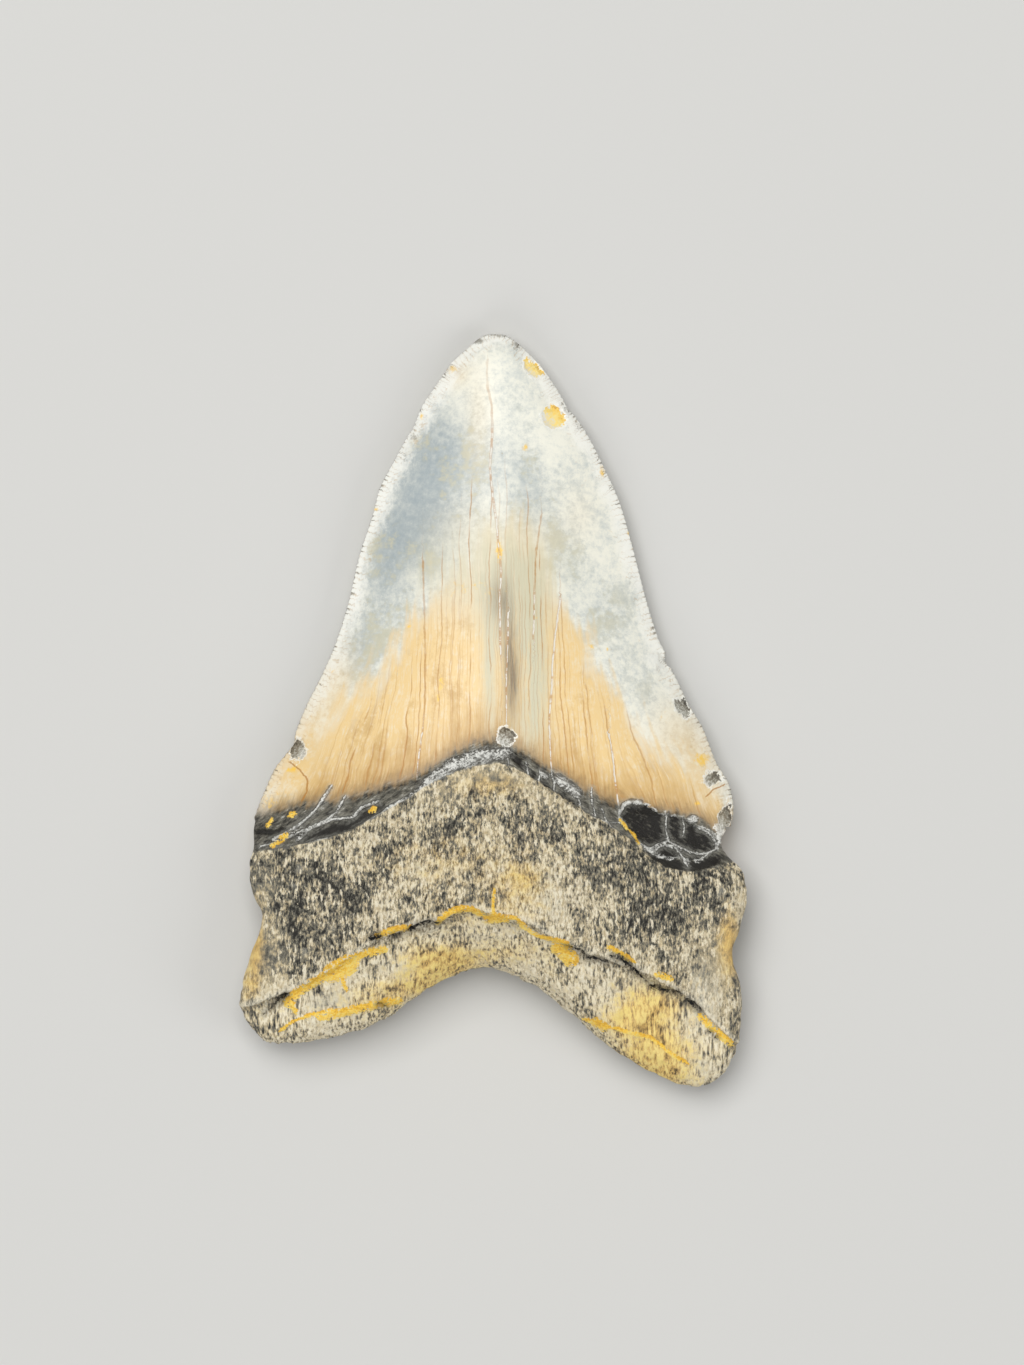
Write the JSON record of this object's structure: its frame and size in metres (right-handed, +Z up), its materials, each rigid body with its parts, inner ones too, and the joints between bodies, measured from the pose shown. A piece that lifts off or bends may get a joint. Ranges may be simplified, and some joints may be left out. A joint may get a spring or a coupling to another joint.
{
  "type": "megalodon tooth",
  "caption": "Fossil megalodon shark tooth: a domed triangular crown with finely serrated cutting edges on a rough forked root, with a dark band between them, lying on its flatter face.",
  "frame": {"origin": "under the middle of the tooth's box, on the surface that it rests on", "axes": "+X across the crown towards the longer root lobe, +Y towards the tip, +Z up out of the domed face"},
  "size_m": [0.0868, 0.128, 0.0242],
  "materials": {
    "tooth": "polished cream and blue-grey enamel, dark cracked band, rough brown-grey root with ochre clay"
  },
  "bodies": {
    "root": {"tooth": "tooth"}
  },
  "joints": []
}
